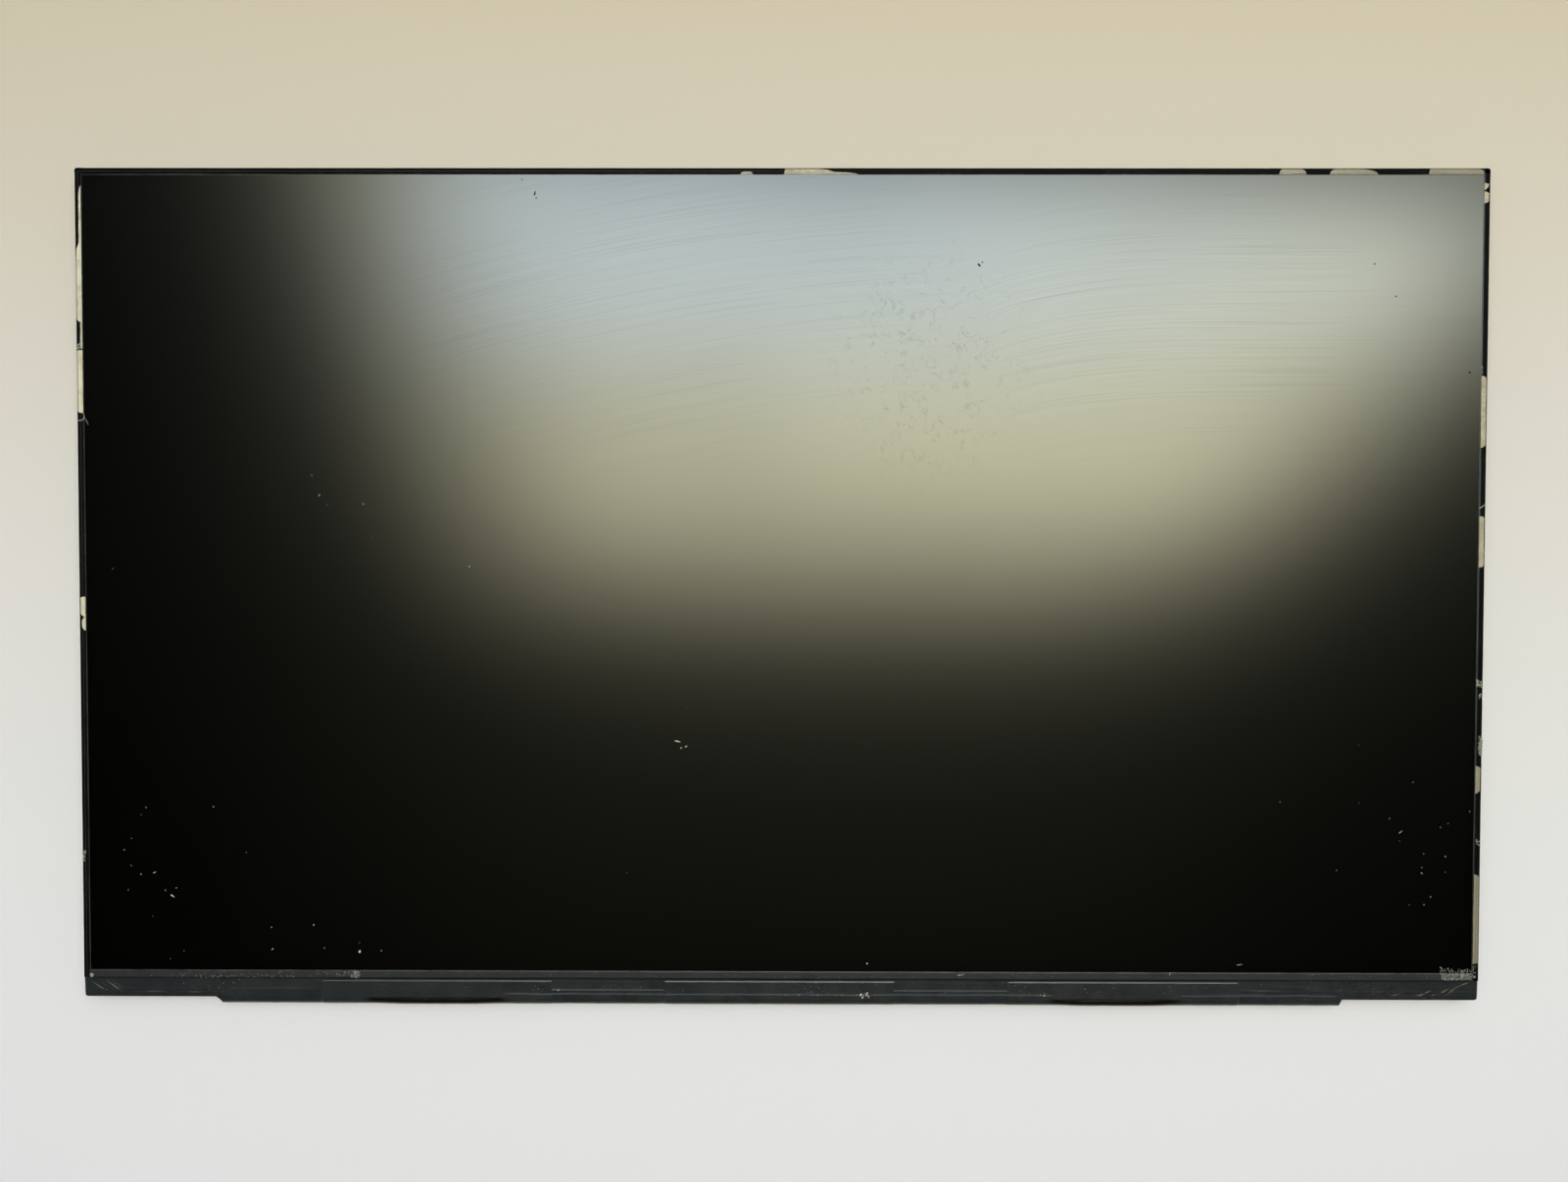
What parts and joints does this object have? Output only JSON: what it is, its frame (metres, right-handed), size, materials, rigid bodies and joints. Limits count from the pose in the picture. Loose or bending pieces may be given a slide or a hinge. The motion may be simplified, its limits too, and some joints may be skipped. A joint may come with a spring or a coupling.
{
  "type": "laptop screen panel",
  "caption": "Bare slim laptop display panel: matt glass cell on an edge-lit backlight, with driver films folded round its bottom edge to a board on the rear.",
  "frame": {"origin": "centre of the panel's outline, on the lowest surface of the rear side", "axes": "+X along the width, to the right as the screen is seen; +Y towards the panel's top edge; +Z out of the screen"},
  "size_m": [0.3158, 0.1885, 0.0038],
  "materials": {
    "screen_film": "anti-glare",
    "cell_glass": "polished, cut edges",
    "rear_film": "smooth",
    "frame_plastic": "moulded, cream",
    "diffuser_film": "milky",
    "prism_film": "fine prisms",
    "guide_plastic": "clear, dotted",
    "reflector_film": "white",
    "plate_metal": "rolled",
    "edge_tape": "black film, worn",
    "bottom_tape": "blue-black film, satin",
    "cover_film": "black film",
    "clear_adhesive": "translucent",
    "light_block_tape": "black",
    "amber_film": "amber with copper tracks",
    "white_film": "white solder resist",
    "chip_silicon": "bare silicon",
    "chip_resin": "moulded",
    "board_resin": "green solder resist",
    "ceramic": "fired, with tinned ends",
    "ferrite": "pressed",
    "led_case": "white",
    "led_phosphor": "yellow gel",
    "connector_resin": "moulded",
    "connector_metal": "tinned",
    "gilt": "gold flash",
    "copper_foil": "foil",
    "silver_paint": "dull silver"
  },
  "bodies": {
    "root": {"front_polarizer": "screen_film", "filter_glass": "cell_glass", "tft_glass": "cell_glass", "rear_polarizer": "rear_film", "mold_frame": "frame_plastic", "rim_tape": "light_block_tape", "upper_diffuser": "diffuser_film", "upper_prism_sheet": "prism_film", "lower_prism_sheet": "prism_film", "lower_diffuser": "diffuser_film", "light_guide": "guide_plastic", "reflector": "reflector_film", "back_plate": "plate_metal", "plate_tape": "clear_adhesive", "led_flex": "white_film", "led_packages": "led_case", "led_windows": "led_phosphor", "led_flex_tape": "clear_adhesive", "driver_film_left": "amber_film", "driver_film_middle": "amber_film", "driver_film_right": "amber_film", "driver_chip_left": "chip_silicon", "driver_chip_middle": "chip_silicon", "driver_chip_right": "chip_silicon", "driver_board": "board_resin", "board_adhesive": "clear_adhesive", "timing_chip": "chip_resin", "power_chip": "chip_resin", "backlight_chip": "chip_resin", "memory_chip": "chip_resin", "buffer_chip": "chip_resin", "inductors": "ferrite", "large_capacitors": "ceramic", "small_capacitors": "ceramic", "resistors": "chip_resin", "diodes": "chip_resin", "fuse": "ceramic", "connector_housing": "connector_resin", "connector_shell": "connector_metal", "connector_contacts": "gilt", "board_cover_film": "cover_film", "ground_foils": "copper_foil", "silver_dot": "silver_paint", "bottom_tape": "bottom_tape", "left_tape": "edge_tape", "right_tape": "edge_tape", "top_tape": "edge_tape"}
  },
  "joints": []
}
